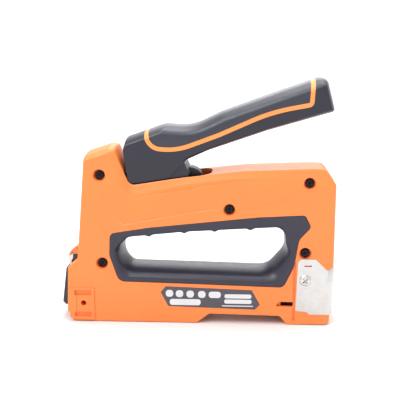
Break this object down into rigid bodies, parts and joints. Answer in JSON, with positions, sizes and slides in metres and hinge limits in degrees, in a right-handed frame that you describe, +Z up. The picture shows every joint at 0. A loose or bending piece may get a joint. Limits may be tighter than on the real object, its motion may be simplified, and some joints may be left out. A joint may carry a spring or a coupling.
{
  "type": "staple gun",
  "caption": "Forward-action hand staple gun with a moulded finger loop, hinged handle, sprung striker, steel nose and rear-loading magazine.",
  "frame": {"origin": "middle of the base, under the centre of the tool's outline, with the handle open", "axes": "+X from the magazine's rear latch to the nose, +Y to the right shell, +Z up from the base"},
  "size_m": [0.1909, 0.0404, 0.1698],
  "materials": {
    "shell_orange": "fine texture",
    "grip_rubber": "satin",
    "handle_plastic": "satin",
    "stripe_orange": "satin",
    "bright_steel": "brushed",
    "spring_steel": "drawn wire",
    "dark_steel": "black oxide",
    "black_plastic": "satin",
    "bumper_rubber": "matt",
    "label_film": "film",
    "staple_wire": "zinc coated"
  },
  "bodies": {
    "housing": {"housing_left": "shell_orange", "housing_right": "shell_orange", "grip_insert_left": "grip_rubber", "grip_insert_right": "grip_rubber", "housing_screws": "dark_steel", "nose_plate": "bright_steel", "nose_plate_screws": "bright_steel", "side_label": "label_film", "handle_pin": "bright_steel", "handle_pin_rings": "spring_steel", "return_spring": "spring_steel", "lifter_pin": "bright_steel", "main_spring": "spring_steel", "spring_cap": "black_plastic", "bumper": "bumper_rubber", "nose_guide": "bright_steel", "magazine_channel": "bright_steel", "staple_strip": "staple_wire", "latch_strike": "bright_steel"},
    "handle": {"handle_body": "handle_plastic", "soft_grip": "grip_rubber", "grip_stripe": "stripe_orange", "handle_frame": "bright_steel", "roller_pin": "spring_steel"},
    "roller": {"roller": "bright_steel"},
    "lifter": {"lifter_lever": "spring_steel"},
    "striker": {"striker_carriage": "spring_steel", "striker_blade": "bright_steel", "blade_pin": "spring_steel"},
    "magazine": {"magazine_rail": "bright_steel", "rail_end_block": "black_plastic", "pusher_rod": "bright_steel", "pusher_spring": "spring_steel", "latch_pin": "bright_steel", "latch_spring": "spring_steel"},
    "pusher": {"pusher": "spring_steel"},
    "latch": {"rear_latch": "black_plastic"}
  },
  "joints": [
    {"name": "handle_hinge", "type": "hinge", "parent": "housing", "child": "handle", "pos_m": [-0.036, 0, 0.09], "axis": [0, 1, 0], "range_deg": [0, 14], "stiffness_Nm_per_rad": 6, "springref_deg": -11.46},
    {"name": "roller_spin", "type": "hinge", "parent": "handle", "child": "roller", "pos_m": [0, 0, 0.094], "axis": [0, 1, 0], "continuous": true},
    {"name": "lifter_hinge", "type": "hinge", "parent": "housing", "child": "lifter", "pos_m": [0.033, 0, 0.092], "axis": [0, 1, 0], "range_deg": [-16, 0]},
    {"name": "striker_slide", "type": "slide", "parent": "housing", "child": "striker", "axis": [0, 0, 1], "range_m": [0, 0.0145], "deforming": ["main_spring"]},
    {"name": "magazine_slide", "type": "slide", "parent": "housing", "child": "magazine", "axis": [-1, 0, 0], "range_m": [0, 0.12]},
    {"name": "pusher_slide", "type": "slide", "parent": "magazine", "child": "pusher", "axis": [-1, 0, 0], "range_m": [0, 0.08], "stiffness_N_per_m": 60, "springref_m": -0.05, "deforming": ["pusher_spring"]},
    {"name": "latch_hinge", "type": "hinge", "parent": "magazine", "child": "latch", "pos_m": [-0.0855, 0, 0.0335], "axis": [0, 1, 0], "range_deg": [0, 20], "stiffness_Nm_per_rad": 0.05, "springref_deg": -17.19, "deforming": ["latch_spring"]}
  ],
  "couplings": [
    {"joint": "lifter_hinge", "follows": "handle_hinge", "ratio": -1.09},
    {"joint": "striker_slide", "follows": "handle_hinge", "m_per_rad": 0.0573}
  ]
}
